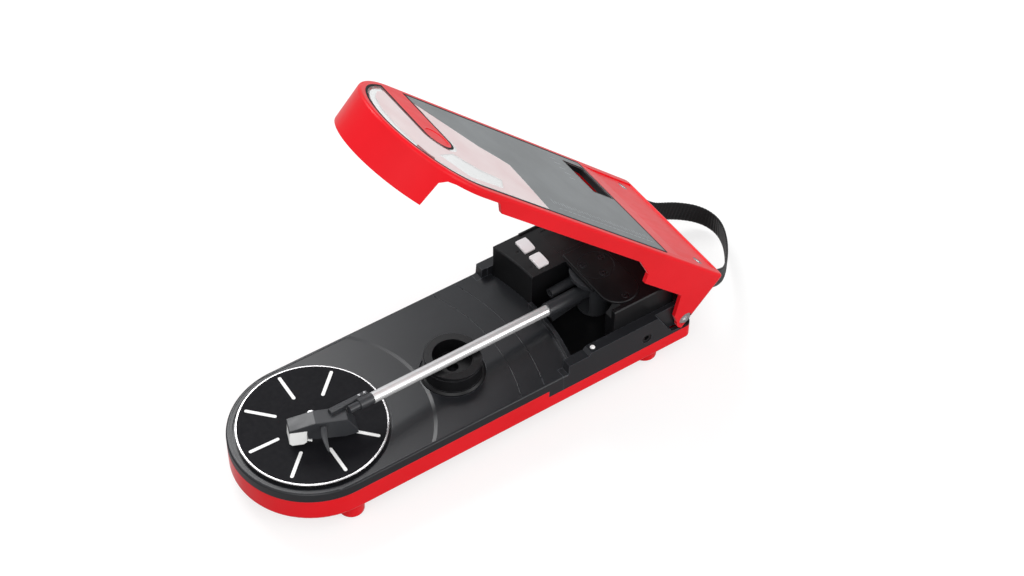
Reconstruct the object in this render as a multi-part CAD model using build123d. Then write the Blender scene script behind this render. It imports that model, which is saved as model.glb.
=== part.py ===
"""Portable clamshell record player, lid propped open.

Millimetres.  The spindle axis is x = y = 0 and the top of the mat is z = 0.
+X runs from the spindle to the lid hinge, +Y is the side away from the tonearm bay.
The lid is drawn closed and then turned about its hinge to the propped angle.
"""
from build123d import *
import math
import os

# overall case
HALF_WIDTH = 50.0
CASE_END = 238.0
TUB_BOTTOM = -25.6
SEAM_FRONT = -9.6
SEAM_REAR = -14.7
SEAM_STEP_X = 132.0
DECK_TOP = -3.0
WALL = 2.4

# raised rear of the case
SIDE_STEP_X = 146.3
LOW_SHOULDER = 4.0
HIGH_SHOULDER = 6.0
BLOCK_HALF = 43.0
BLOCK_FRONT_R = 159.0
BLOCK_END = 228.5
BLOCK_TOP = 21.5
BAY_SIDE_Y = 8.0
BAY_FLOOR = -15.5
RAIL_START = 142.3
LIGHT_AT = (165.2, -46.4)

# platter
PLATTER_R = 44.8
MAT_R = 43.4
SPINDLE_R = 3.55
SHAFT_R = 3.0
SPINDLE_TOP = 9.3
SPINDLE_GRIP = 6.7
BAR_TURN = -2.0
SUB_PLATTER_R = 31.0
MOTOR_PULLEY_R = 3.1
MOTOR_AT = (70.0, 26.0)
BELT_Z = (-10.4, -8.0)

# lid, dimensions of the closed lid
HINGE_X = 232.6
HINGE_Z = -7.3
LID_OPEN = 44.06
LID_TOP = 27.5
LID_END = 237.6
LID_SKIN = 2.6
PANEL_SINK = 1.1
WINDOW_R = 45.5
WINDOW_END = 178.5

# tonearm
PIVOT = (196.2, -5.2)
PIVOT_Z = 3.6
ARM_YAW = 183.88
ARM_TILT = 5.0
TUBE_R = 3.4
TUBE_END = 165.8
ARM_CLEAR = 4.3
HEAD_OFFSET = -24.0
HEAD_HALF = 5.2
HEAD_DROP = 0.9

# 45 rpm adaptor
ADAPTOR = (90.4, -9.4)
ADAPTOR_TOP = 11.9

# hand strap: middle line and the lean of its width, with the lid propped open
STRAP_FAR_Y = 40.0
STRAP_NEAR_Y = -39.0
STRAP_HALF = 7.5
STRAP = ((254.0, 40.0, 4.4, 0.695), (262.5, 41.6, -5.0, 0.42), (273.5, 42.0, -15.0, 0.12),
         (288.9, 38.5, -20.0, 0.0), (299.3, 33.6, -23.1, 0.0), (305.7, 27.6, -25.0, 0.0),
         (308.6, 20.6, -25.9, 0.0), (308.4, 12.9, -25.8, 0.0), (305.5, 4.7, -25.0, 0.0),
         (300.6, -3.8, -23.6, 0.0), (294.4, -12.2, -21.6, 0.0), (287.3, -20.1, -18.5, 0.02),
         (279.0, -27.5, -13.5, 0.12), (268.5, -34.0, -6.0, 0.40), (254.0, -39.0, 4.4, 0.695))

FEET = ((0.0, 40.8), (0.0, -40.8), (211.0, 38.6), (211.0, -38.6))
FOOT_BOTTOM = -36.1

BUTTONS_AT = ((170.2, 32.0), (170.2, 17.3))


# ---------- small helpers ----------

def block(x0, x1, y0, y1, z0, z1):
    centre = Pos((x0 + x1) / 2, (y0 + y1) / 2, (z0 + z1) / 2)
    return centre * Box(abs(x1 - x0), abs(y1 - y0), abs(z1 - z0))


def rod(x, y, z0, z1, r):
    return Pos(x, y, (z0 + z1) / 2) * Cylinder(r, z1 - z0)


def ring(x, y, z0, z1, r_out, r_in):
    return rod(x, y, z0, z1, r_out) - rod(x, y, z0 - 1, z1 + 1, r_in)


def cone(x, y, z0, z1, r0, r1):
    return Pos(x, y, (z0 + z1) / 2) * Cone(r0, r1, z1 - z0)


def rod_y(x, z, y0, y1, r):
    return Pos(x, (y0 + y1) / 2, z) * Rot(90, 0, 0) * Cylinder(r, abs(y1 - y0))


def rod_x(y, z, x0, x1, r):
    return Pos((x0 + x1) / 2, y, z) * Rot(0, 90, 0) * Cylinder(r, abs(x1 - x0))


def plan(points, z0, z1):
    """Prism with the given outline in x and y."""
    outline = Polyline(*[(x, y, z0) for x, y in points], close=True)
    return extrude(make_face(outline), amount=z1 - z0, dir=(0, 0, 1))


def elevation(points, y0, y1):
    """Prism with the given outline in x and z, running along y."""
    outline = Polyline(*[(x, y0, z) for x, z in points], close=True)
    return extrude(make_face(outline), amount=y1 - y0, dir=(0, 1, 0))


def case_outline(r, end, z0, z1, corner=4.0):
    """Round-nosed slab: a half circle about the spindle and straight sides to the rear."""
    body = rod(0, 0, z0, z1, r) + block(0, end, -r, r, z0, z1)
    if corner > 0:
        rear = [e for e in body.edges().filter_by(Axis.Z) if e.center().X > end - 1]
        body = fillet(rear, corner)
    return body


def save(shape, name):
    shape.label = name
    export_step(shape, "parts/" + name + ".step")


def many(shapes):
    return Compound(children=[s for s in shapes])


# ---------- lower case ----------

def base_tub():
    body = case_outline(HALF_WIDTH, CASE_END, TUB_BOTTOM, SEAM_FRONT)
    low_edge = body.edges().group_by(Axis.Z)[0]
    body = fillet(low_edge, 2.2)
    body -= case_outline(HALF_WIDTH - WALL, CASE_END - WALL, TUB_BOTTOM + WALL, 0, 2.0)
    body -= block(SEAM_STEP_X, CASE_END + 5, -60, 60, SEAM_REAR, 0)
    for x, y in FEET:
        body -= rod(x, y, TUB_BOTTOM - 1, TUB_BOTTOM + 1.0, 6.05)
    # boss for the platter bearing
    body += rod(0, 0, TUB_BOTTOM + 1.5, -15.0, 8.0)
    body -= rod(0, 0, TUB_BOTTOM + 0.8, -14.0, 6.0)
    # boss for the tonearm pivot post
    body += rod(PIVOT[0], PIVOT[1], TUB_BOTTOM + 1.5, -20.0, 7.0)
    # screw pillars
    for x, y in ((52, -41), (52, 41), (140, -38), (140, 38)):
        body += rod(x, y, TUB_BOTTOM + 1.5, -12.0, 3.4)
        body -= rod(x, y, -18.0, -11.0, 1.2)
    # posts under the circuit board
    for x, y in ((209.5, -30), (209.5, 30), (231, -30), (231, 30)):
        body += rod(x, y, TUB_BOTTOM + 1.5, -20.6, 2.2)
    return body


def feet():
    return many([foot(x, y) for x, y in FEET])


def foot(x, y):
    body = cone(x, y, FOOT_BOTTOM + 1.6, TUB_BOTTOM, 7.6, 8.1)
    body += rod(x, y, TUB_BOTTOM, TUB_BOTTOM + 1.0, 6.0)
    body -= rod(x, y, FOOT_BOTTOM + 1.0, FOOT_BOTTOM + 2.4, 6.3)
    return body


def foot_pads():
    pads = []
    for x, y in FEET:
        pad = rod(x, y, FOOT_BOTTOM, FOOT_BOTTOM + 2.4, 6.3)
        pad = chamfer(pad.edges().group_by(Axis.Z)[0], 0.5)
        pads.append(pad)
    return many(pads)


def lug_recess(y0, y1):
    """Pocket in the case side that the lid's hinge lug turns in."""
    wedge = elevation([(211.0, 8.0), (211.0, 6.1), (219.2, -7.3), (222.0, -15.6 + 1.0),
                       (CASE_END + 2, -14.7), (CASE_END + 2, 8.0)], y0, y1)
    floor = elevation([(219.0, -9.0), (CASE_END + 2, -9.0), (CASE_END + 2, -16.0),
                       (219.0, -16.0)], y0, y1)
    keep = floor - rod_y(HINGE_X, HINGE_Z, y0 - 1, y1 + 1, 7.5)
    keep -= elevation([(220.5, -7.0), (222.0, -12.0), (226.4, -12.6), (HINGE_X, -15.0),
                       (HINGE_X, -7.0)], y0 - 1, y1 + 1)
    return wedge - keep


def upper_case():
    """Black upper case: platter well, deck, raised sides and hinge pockets."""
    body = case_outline(HALF_WIDTH - 0.05, CASE_END, SEAM_REAR, DECK_TOP)
    body -= case_outline(HALF_WIDTH - WALL, CASE_END - WALL, SEAM_REAR - 1, DECK_TOP - 2.2, 2.0)
    body -= block(-60, SEAM_STEP_X + 0.1, -60, 60, SEAM_REAR - 1, SEAM_FRONT + 0.05)
    # rounded deck rim in front of the raised sides
    rim = [e for e in body.edges().group_by(Axis.Z)[-1]]
    body = fillet(rim, 1.3)
    # platter zone, a little lower, with a soft ramp up to the rest of the deck
    lower = cone(0, 0, DECK_TOP - 0.35, DECK_TOP + 0.01, 70.2, 72.4)
    body -= lower & block(-10, 90, -48.2, 48.2, -10, 5)
    body -= rod(0, 0, DECK_TOP - 0.35, DECK_TOP + 1, 48.2)
    body -= rod(0, 0, DECK_TOP - 1.2, DECK_TOP, 46.3)
    body -= rod(0, 0, -8, 0, 12.0)
    # fine circular panel lines
    for r in (123.0, 138.0):
        line = ring(0, 0, DECK_TOP - 0.35, DECK_TOP + 1, r + 0.2, r - 0.2)
        body -= line & block(60, 160, -48.2, 48.2, -10, 5)
    # well that the adaptor stands in
    body -= rod(ADAPTOR[0], ADAPTOR[1], DECK_TOP - 0.8, DECK_TOP + 1, 20.2)
    # raised sides and rear
    sides = elevation([(SIDE_STEP_X - 4, DECK_TOP - 2), (SIDE_STEP_X - 0.6, DECK_TOP - 0.2),
                       (SIDE_STEP_X, LOW_SHOULDER), (160.4, LOW_SHOULDER),
                       (162.0, HIGH_SHOULDER), (CASE_END, HIGH_SHOULDER),
                       (CASE_END, SEAM_REAR + 3), (SIDE_STEP_X - 4, SEAM_REAR + 3)], -50, 50)
    shell = case_outline(HALF_WIDTH - 0.05, CASE_END, SEAM_REAR, HIGH_SHOULDER)
    sides = sides & shell
    sides -= block(100, 236.0, -43.4, 43.4, SEAM_REAR - 1, 20)
    outside_record = rod(0, 0, -20, 20, 156.3)
    sides -= outside_record & block(100, 200, -43.6, 43.6, DECK_TOP, 20)
    body += sides
    # the middle of the rear is left open for the block housing
    middle = block(120.0, CASE_END + 1, -43.4, 43.4, -20, 20)
    kept = rod(0, 0, -21, 21, 157.5) + (rod(0, 0, -21, 21, 158.7) & block(100, 170, 7.4, 60, -22, 22))
    body -= middle - kept
    lip = ring(0, 0, DECK_TOP - 2.2, 0.8, 158.6, 156.3) & block(120, 170, -43.4, 7.4, -20, 20)
    body += lip
    # shelf and wall behind the block housing
    body += block(229.0, CASE_END, -44.0, 44.0, 1.8, 4.0)
    body += block(235.6, CASE_END, -44.0, 44.0, SEAM_REAR, 4.0)
    for y0, y1 in ((-51, -46.5), (46.5, 51)):
        body -= lug_recess(y0, y1)
    # pivot screw holes
    body -= rod_y(HINGE_X, HINGE_Z, -47, -40, 2.2)
    body -= rod_y(HINGE_X, HINGE_Z, 40, 47, 2.2)
    # headphone and charging sockets
    body -= rod_y(203.4, -7.0, -51, -42, 3.55)
    body -= block(196.0, 205.4, 42, 51, -8.8, -5.2)
    # seat of the light
    body -= rod(LIGHT_AT[0], LIGHT_AT[1], 2.0, 10, 1.6)
    return body


def rear_part():
    """Space that holds the raised sides and the rear wall of the upper case."""
    space = block(RAIL_START, CASE_END + 2, 43.4, 52, -30, 20)
    space += block(RAIL_START, CASE_END + 2, -52, -43.4, -30, 20)
    return space + block(200.0, CASE_END + 2, -52, 52, -30, 20)


def deck_plate():
    """Deck with the platter well, up to the raised sides."""
    return upper_case() - rear_part()


def side_rails():
    """Raised sides and rear wall of the upper case."""
    return upper_case() & rear_part()


def bearing_bush():
    return ring(0, 0, TUB_BOTTOM + 0.8, -14.2, 6.0, SHAFT_R + 0.05)


def battery():
    low = TUB_BOTTOM + WALL
    wrap = block(98.0, 152.0, -24.0, 14.0, low, low + 9.6)
    sides = [e for e in wrap.edges().filter_by(Axis.X)]
    return fillet(sides, 3.4)


def circuit_board():
    return block(207.0, 234.0, -38.0, 38.0, -20.6, -19.0)


def board_parts():
    chips = [block(212, 220, y, y + 8, -19.0, -17.6) for y in (-20, 2, 18)]
    caps = [rod(226, y, -19.0, -13.0, 3.0) for y in (-24, -14, 28)]
    return many(chips + caps)


def audio_jack():
    barrel = rod_y(203.4, -7.0, -49.5, -43.4, 3.5)
    bore = rod_y(203.4, -7.0, -50, -44.0, 1.8)
    return barrel - bore


def charge_socket():
    shell = block(196.1, 205.3, 43.4, 49.5, -8.7, -5.3)
    tongue = block(198.2, 203.2, 44.4, 49.0, -7.3, -6.7)
    return shell - block(196.9, 204.5, 44.4, 50.0, -8.1, -5.9) + tongue


def indicator_light():
    dome = rod(LIGHT_AT[0], LIGHT_AT[1], 2.0, 6.9, 1.55)
    return fillet(dome.edges().group_by(Axis.Z)[-1], 0.9)


# ---------- drive ----------

def motor():
    x, y = MOTOR_AT
    can = rod(x, y, TUB_BOTTOM + WALL, -11.6, 11.5)
    can = fillet(can.edges().group_by(Axis.Z)[-1], 1.0)
    can += rod(x, y, -11.6, -11.0, 3.6)
    return can - rod(x, y, -17.0, -10.0, 1.05)


def motor_pulley():
    x, y = MOTOR_AT
    body = rod(x, y, -10.8, -7.4, MOTOR_PULLEY_R)
    body += rod(x, y, -7.6, -7.0, MOTOR_PULLEY_R + 1.0)
    return body + rod(x, y, -16.5, -10.5, 1.0)


def drive_belt():
    x, y = MOTOR_AT
    distance = math.hypot(x, y)
    gap = 0.3
    thick = 0.6
    big = SUB_PLATTER_R + gap
    small = MOTOR_PULLEY_R + gap
    outer = belt_loop(big + thick, small + thick, distance, x, y)
    inner = belt_loop(big, small, distance, x, y)
    return outer - inner


def belt_loop(big, small, distance, x, y):
    lean = math.asin((big - small) / distance)
    turn = math.degrees(math.atan2(y, x))
    points = []
    for r, at in ((big, 0.0), (small, distance)):
        for side in (1, -1):
            a = side * (math.pi / 2 - lean)
            points.append((at + r * math.cos(a), r * math.sin(a)))
    hull = plan([points[0], points[1], points[3], points[2]], BELT_Z[0], BELT_Z[1])
    hull += rod(0, 0, BELT_Z[0], BELT_Z[1], big)
    hull += rod(distance, 0, BELT_Z[0], BELT_Z[1], small)
    return Rot(0, 0, turn) * hull


def sub_platter():
    body = rod(0, 0, -11.4, -7.0, SUB_PLATTER_R)
    body += rod(0, 0, -11.9, -11.1, SUB_PLATTER_R + 0.9)
    body += rod(0, 0, -7.2, -6.5, SUB_PLATTER_R + 0.9)
    body += rod(0, 0, -7.0, -2.9, 10.5)
    body -= rod(0, 0, -13, 0, SHAFT_R)
    for k in range(6):
        a = math.radians(60 * k)
        body -= rod(21 * math.cos(a), 21 * math.sin(a), -13, -5, 6.0)
    return body


def platter():
    body = rod(0, 0, -2.9, -0.5, PLATTER_R)
    body = chamfer(body.edges().group_by(Axis.Z)[-1], 0.35)
    body -= rod(0, 0, -1.4, 1, MAT_R + 0.1)
    body -= rod(0, 0, -4, 1, SHAFT_R)
    return body


def slip_mat():
    body = ring(0, 0, -1.4, 0.0, MAT_R, SPINDLE_R + 0.3)
    for bar in bars(0.06, -0.5, 0.5):
        body -= bar
    return body


def mat_bars():
    return many(bars(0.0, -0.5, 0.0))


def bars(extra, z0, z1):
    out = []
    half = 1.05 + extra
    for k in range(8):
        bar = block(22.3, 39.8, -half, half, z0, z1)
        bar += rod(22.3, 0, z0, z1, half)
        bar += rod(39.8, 0, z0, z1, half)
        out.append(Rot(0, 0, 45 * k + BAR_TURN) * bar)
    return out


def spindle():
    pin = rod(0, 0, 0.0, SPINDLE_GRIP, SPINDLE_R)
    tip = cone(0, 0, SPINDLE_GRIP, SPINDLE_TOP, SPINDLE_R, 2.5)
    pin += fillet(tip.edges().group_by(Axis.Z)[-1], 0.9)
    return pin + rod(0, 0, TUB_BOTTOM + 1.2, 0.0, SHAFT_R)


# ---------- rear block ----------

def block_housing():
    """Tall black housing with the curved front, the controls and the tonearm bay."""
    top = BLOCK_TOP
    body = block(140.0, BLOCK_END, -BLOCK_HALF, BLOCK_HALF, DECK_TOP - 3.0, top)
    body -= rod(0, 0, -30, 30, BLOCK_FRONT_R)
    rear = [e for e in body.edges().filter_by(Axis.Z) if e.center().X > BLOCK_END - 1]
    body = fillet(rear, 3.0)
    front = [e for e in body.edges().filter_by(Axis.Z) if e.center().X < 165]
    body = fillet(front, 1.2)
    body = chamfer(body.edges().group_by(Axis.Z)[-1], 0.7)
    # low lip along the far edge of the top
    body += block(172.0, 224.0, BLOCK_HALF - 1.9, BLOCK_HALF - 0.8, top - 0.2, top + 1.1)
    # hollow inside
    room = block(140.0, BLOCK_END - 2.2, BAY_SIDE_Y + 2.2, BLOCK_HALF - 2.2, -20, top - 2.2)
    body -= room - rod(0, 0, -30, 30, BLOCK_FRONT_R + 2.2)
    body -= block(214.0, BLOCK_END - 2.2, -BLOCK_HALF + 2.2, BAY_SIDE_Y + 3, -20, top - 2.2)
    # bay for the tonearm, open to the front
    bay = block(140.0, 211.5, -BLOCK_HALF + 2.2, BAY_SIDE_Y, -20, top - 2.6)
    body -= bay
    opening = block(140.0, 183.4, -BLOCK_HALF - 1, BAY_SIDE_Y, -20, top + 1)
    body -= opening
    body += block(183.4, 211.5, -BLOCK_HALF + 1, -34.0, DECK_TOP - 3.0, top - 2.6)
    body -= elevation([(182.0, 12.0), (190.0, top + 0.0), (182.0, top + 3)], -39.5, -20.0)
    # sunk seat of the pivot cover
    body -= cover_outline(top - 0.9, top + 1, 0.15)
    body -= rod(PIVOT[0], PIVOT[1], 12.0, top - 2.6, 16.6)
    # holes for the keys
    for x, y in BUTTONS_AT:
        body -= block(x - 4.05, x + 4.05, y - 5.8, y + 5.8, top - 5, top + 1)
    # small dots beside the keys
    for y in (32.0, 17.3):
        body -= rod(163.6, y - 2.0, top - 0.35, top + 1, 1.1)
    # shallow channel behind the keys
    body -= block(184.0, 206.0, 16.0, 37.0, top - 0.5, top + 1)
    return body


def cover_outline(z0, z1, extra=0.0):
    body = block(184.2 - extra, 209.2 + extra, -27.0, 13.0 + extra, z0, z1)
    nose = rod(196.7, -27.0, z0, z1, 12.5 + extra)
    return body + nose


def pivot_cover():
    body = cover_outline(BLOCK_TOP - 0.9, BLOCK_TOP + 0.7)
    body = chamfer(body.edges().group_by(Axis.Z)[-1], 0.4)
    body -= ring(PIVOT[0], PIVOT[1], BLOCK_TOP + 0.35, BLOCK_TOP + 2, 11.2, 10.8)
    for x, y in cover_screw_places():
        body -= rod(x, y, BLOCK_TOP - 0.1, BLOCK_TOP + 2, 2.3)
    return body


def cover_screw_places():
    places = []
    for a in (31, 149, 270):
        t = math.radians(a)
        places.append((PIVOT[0] + 7.6 * math.cos(t), PIVOT[1] + 7.6 * math.sin(t)))
    places.append((196.7, -35.0))
    return places


def cross_head(x, y, z0, z1, r):
    head = rod(x, y, z0, z1, r)
    head = fillet(head.edges().group_by(Axis.Z)[-1], 0.35)
    head -= block(x - r * 0.6, x + r * 0.6, y - 0.28, y + 0.28, z1 - 0.5, z1 + 1)
    head -= block(x - 0.28, x + 0.28, y - r * 0.6, y + r * 0.6, z1 - 0.5, z1 + 1)
    return head


def cover_screws():
    return many([cross_head(x, y, BLOCK_TOP - 0.1, BLOCK_TOP + 0.7, 2.1)
                 for x, y in cover_screw_places()])


def key(x, y):
    cap = block(x - 3.85, x + 3.85, y - 5.6, y + 5.6, BLOCK_TOP - 3.4, BLOCK_TOP + 1.5)
    crown = rod_x(y, BLOCK_TOP + 1.5 - 26.0, x - 10, x + 10, 26.0)
    cap = cap & crown
    upright = cap.edges().filter_by(Axis.Z)
    cap = fillet(upright, 0.9)
    flange = block(x - 4.8, x + 4.8, y - 6.6, y + 6.6, BLOCK_TOP - 3.3, BLOCK_TOP - 2.3)
    stem = block(x - 2.0, x + 2.0, y - 2.0, y + 2.0, BLOCK_TOP - 12.0, BLOCK_TOP - 3.0)
    return cap + flange + stem


def play_key():
    return key(*BUTTONS_AT[0])


def speed_key():
    return key(*BUTTONS_AT[1])


def switch_board():
    body = block(163.5, 186.0, BAY_SIDE_Y + 2.2, BLOCK_HALF - 2.2, BLOCK_TOP - 17.6, BLOCK_TOP - 16.0)
    for x, y in BUTTONS_AT:
        body += block(x - 3, x + 3, y - 3, y + 3, BLOCK_TOP - 16.0, BLOCK_TOP - 13.6)
    return body


def bay_tray():
    """Black floor and low walls under the swinging tonearm."""
    floor = block(150.0, 213.6, -42.6, BAY_SIDE_Y + 1.6, BAY_FLOOR - 1.4, BAY_FLOOR)
    walls = block(150.0, 213.6, -42.6, BAY_SIDE_Y + 1.6, BAY_FLOOR, DECK_TOP - 3.4)
    walls -= block(140.0, 212.0, -41.0, BAY_SIDE_Y, BAY_FLOOR - 1, 0)
    body = floor + walls
    body -= rod(0, 0, -30, 30, 158.9)
    arc = ring(0, 0, BAY_FLOOR - 1.4, DECK_TOP - 3.4, 160.4, 158.9)
    body += arc & block(140.0, 190.0, -42.6, BAY_SIDE_Y + 1.6, -30, 0)
    body -= rod(PIVOT[0], PIVOT[1], -30, 0, 5.2)
    return body


def pivot_post():
    x, y = PIVOT
    body = rod(x, y, -20.0, -13.4, 5.0)
    body += rod(x, y, -13.4, -6.0, 2.5)
    return body


# ---------- 45 rpm adaptor ----------

def ep_adaptor():
    x, y = ADAPTOR
    low = DECK_TOP - 0.8
    body = rod(x, y, low, low + 2.2, 19.6)
    body = chamfer(body.edges().group_by(Axis.Z)[-1], 1.2)
    body += rod(x, y, low + 2.2, 7.2, 17.6)
    body += rod(x, y, 7.2, ADAPTOR_TOP, 17.1)
    body = chamfer(body.edges().group_by(Axis.Z)[-1], 0.6)
    body -= rod(x, y, low + 4.5, 20, 11.9)
    body -= rod(x, y, low - 1, 20, SPINDLE_R + 0.1)
    # the arm lies against the far side of a cut whose floor follows its sweep
    rise = math.tan(math.radians(ARM_TILT))
    wedge = Pos(PIVOT[0], PIVOT[1], PIVOT_Z - ARM_CLEAR) * swept_space(rise)
    return body - wedge


def swept_space(rise):
    """Space over the cone that the underside of the arm sweeps, near side only."""
    reach = 150.0
    funnel = Pos(0, 0, reach * rise / 2) * Cone(0.02, reach, reach * rise)
    solid = Pos(0, 0, 20 + reach * rise) * Cylinder(reach, 40) + funnel
    side = Rot(0, 0, ARM_YAW) * block(0, reach + 5, -TUBE_R - 0.6, 90, -5, 60)
    return solid & side


# ---------- tonearm ----------

def arm_place():
    at = Location((PIVOT[0], PIVOT[1], PIVOT_Z), (0, 0, ARM_YAW))
    return at * Location((0, 0, 0), (0, -ARM_TILT, 0))


def head_place():
    return arm_place() * Location((183.8, 0, -HEAD_DROP)) * Location((0, 0, 0), (0, 0, HEAD_OFFSET))


def turret():
    flange = rod(0, 0, 15.6, 18.5, 16.0)
    cup = cone(0, 0, 12.6, 15.6, 12.5, 16.0)
    column = rod(0, 0, -12.6, 12.6, 10.4)
    body = column + cup + flange
    body -= rod(0, 0, 17.2, 21, 13.0)
    # slot for the arm and its drop
    body -= block(-7.0, 12.0, -5.6, 5.6, -11.0, 10.6)
    body -= block(2.0, 17.0, -5.6, 5.6, 5.0, 14.6)
    # bearing hole over the post
    body -= rod(0, 0, -14, -5.5, 2.55)
    # holes for the cross pin
    body -= rod_y(0, PIVOT_Z, -12, 12, 1.5)
    # spring barrel beside the arm
    barrel = rod_x(-9.4, 7.2, 2.0, 27.5, 3.1)
    body += barrel - block(-7.0, 12.0, -5.6, 5.6, -11.0, 10.6)
    body -= rod_x(-9.4, 7.2, 24.0, 29.0, 2.3)
    return Location((PIVOT[0], PIVOT[1], 0), (0, 0, ARM_YAW)) * body


def cross_pin():
    pin = rod_y(0, PIVOT_Z, -10.2, 10.2, 1.5)
    return Location((PIVOT[0], PIVOT[1], 0), (0, 0, ARM_YAW)) * pin


def arm_root():
    """Barrel on the cross pin with the tapered sleeve that grips the tube."""
    body = rod_y(0, 0, -5.2, 5.2, 4.3)
    sleeve = Pos(26.0, 0, 0) * Rot(0, 90, 0) * Cone(5.0, 4.5, 23.0)
    body += rod_x(0, 0, 0.0, 15.0, 4.4)
    body += sleeve
    web = elevation([(12.0, 0.0), (12.0, -6.5), (33.0, -11.0), (35.5, -4.0), (35.5, 0.0)], -1.5, 1.5)
    body += web
    body -= rod_x(0, 0, 28.0, 40.0, TUBE_R)
    body -= rod_y(0, 0, -6, 6, 1.55)
    return arm_place() * body


def arm_tube():
    tube = rod_x(0, 0, 28.0, TUBE_END, TUBE_R)
    return arm_place() * (tube - rod_x(0, 0, 152.0, TUBE_END + 1, 2.6))


def head_collar():
    """Plug in the end of the tube, its neck, and the side bar with two screws."""
    body = rod_x(0, 0, 156.0, TUBE_END, 2.55)
    body += rod_x(0, 0, TUBE_END, 175.0, 3.25)
    body += rod_x(0, 0, 175.0, 182.0, 2.4)
    body += block(TUBE_END + 0.2, 174.0, -4.0, 0.0, -1.6, 1.2)
    bar = block(TUBE_END + 0.2, 192.0, -6.6, -3.0, -1.8, 1.4)
    top_edges = [e for e in bar.edges().group_by(Axis.Z)[-1].filter_by(Axis.X)]
    body += chamfer(top_edges, 0.7)
    for screw in small_screws(0.86, 1.5):
        body -= screw
    body = arm_place() * body
    return body - head_place() * shell_block()


def small_screws(r, length):
    return [Pos(x, -4.8, 1.3) * Cylinder(r, length) for x in (168.0, 171.6)]


def collar_screws():
    return many([arm_place() * screw for screw in small_screws(0.8, 1.3)])


def shell_outline():
    return [(0.0, -0.6), (18.6, -0.7), (33.4, -4.6), (33.6, -6.4), (23.0, -6.4), (22.6, -12.6),
            (15.0, -14.0), (2.0, -14.6), (-6.6, -12.6), (-6.2, -10.0)]


def shell_block():
    return elevation(shell_outline(), -HEAD_HALF, HEAD_HALF)


def headshell():
    """Wedge-shaped shell: sloping nose plate, flat crown, steep back, open below."""
    body = shell_block()
    long_edges = [e for e in body.edges() if e.length > 10 and abs(e.center().Y) > 4]
    body = fillet(long_edges, 0.45)
    inner = [(3.0, -2.8), (18.0, -2.8), (21.4, -3.6), (21.4, -20.0), (3.0, -20.0)]
    body -= elevation(inner, -HEAD_HALF + 1.2, HEAD_HALF - 1.2)
    # socket for the collar's neck, in line with the arm
    neck = Rot(0, 0, -HEAD_OFFSET) * rod_x(0, HEAD_DROP, -30.0, -1.7, 2.45)
    return head_place() * (body - neck)


def cartridge():
    body = block(23.2, 33.2, -4.8, 4.8, -16.8, -6.4)
    corner = [e for e in body.edges().group_by(Axis.Z)[0].filter_by(Axis.Y)]
    body = chamfer(corner, 1.3)
    body += block(24.8, 31.6, -4.2, 4.2, -17.8, -16.0)
    return head_place() * body


def stylus():
    lever = elevation([(23.2, -13.9), (23.2, -15.0), (20.2, -16.4), (20.0, -15.5)], -4.0, 4.2)
    tip = elevation([(20.3, -15.8), (21.3, -15.9), (20.7, -17.9)], -0.35, 0.35)
    return head_place() * (lever + tip)


def finger_lift():
    body = plan_blade()
    return head_place() * body


def plan_blade():
    """Curved, tapering blade leaving the near side of the shell."""
    pieces = None
    steps = 7
    for k in range(steps):
        y0, z0, w0 = blade_at(k / steps)
        y1, z1, w1 = blade_at((k + 1) / steps)
        pts0 = [(-w0, y0, z0), (w0, y0, z0), (w0, y0, z0 - 0.9), (-w0, y0, z0 - 0.9)]
        pts1 = [(-w1, y1, z1), (w1, y1, z1), (w1, y1, z1 - 0.9), (-w1, y1, z1 - 0.9)]
        seg = loft([make_face(Polyline(*[(14.0 + a, b, c) for a, b, c in pts0], close=True)),
                    make_face(Polyline(*[(14.0 + a, b, c) for a, b, c in pts1], close=True))])
        pieces = seg if pieces is None else pieces + seg
    return pieces


def blade_at(t):
    y = HEAD_HALF + 0.02 + 13.2 * t
    z = -3.0 - 1.6 * t - 7.4 * t * t
    return y, z, 1.9 - 0.3 * t - 1.0 * t * t


# ---------- lid (drawn closed) ----------

def opened(shape):
    turn = Location((HINGE_X, 0, HINGE_Z)) * Location((0, 0, 0), (0, LID_OPEN, 0))
    return turn * Location((-HINGE_X, 0, -HINGE_Z)) * shape


def lid_side():
    lug = [(212.0, 6.4), (220.2, -6.8), (223.0, -12.2)]
    return [(-52, 4.2), (-28.6, 4.2), (-27.6, 19.5), (-24.5, 22.6), (-20.0, 23.4), (14.2, 23.4),
            (20.2, 18.2), (154.3, 18.2), (169.0, 12.6), (172.0, 6.4)] + lug + \
           [(228.0, -14.0), (CASE_END + 3, -14.0), (CASE_END + 3, 40), (-52, 40)]


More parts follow.
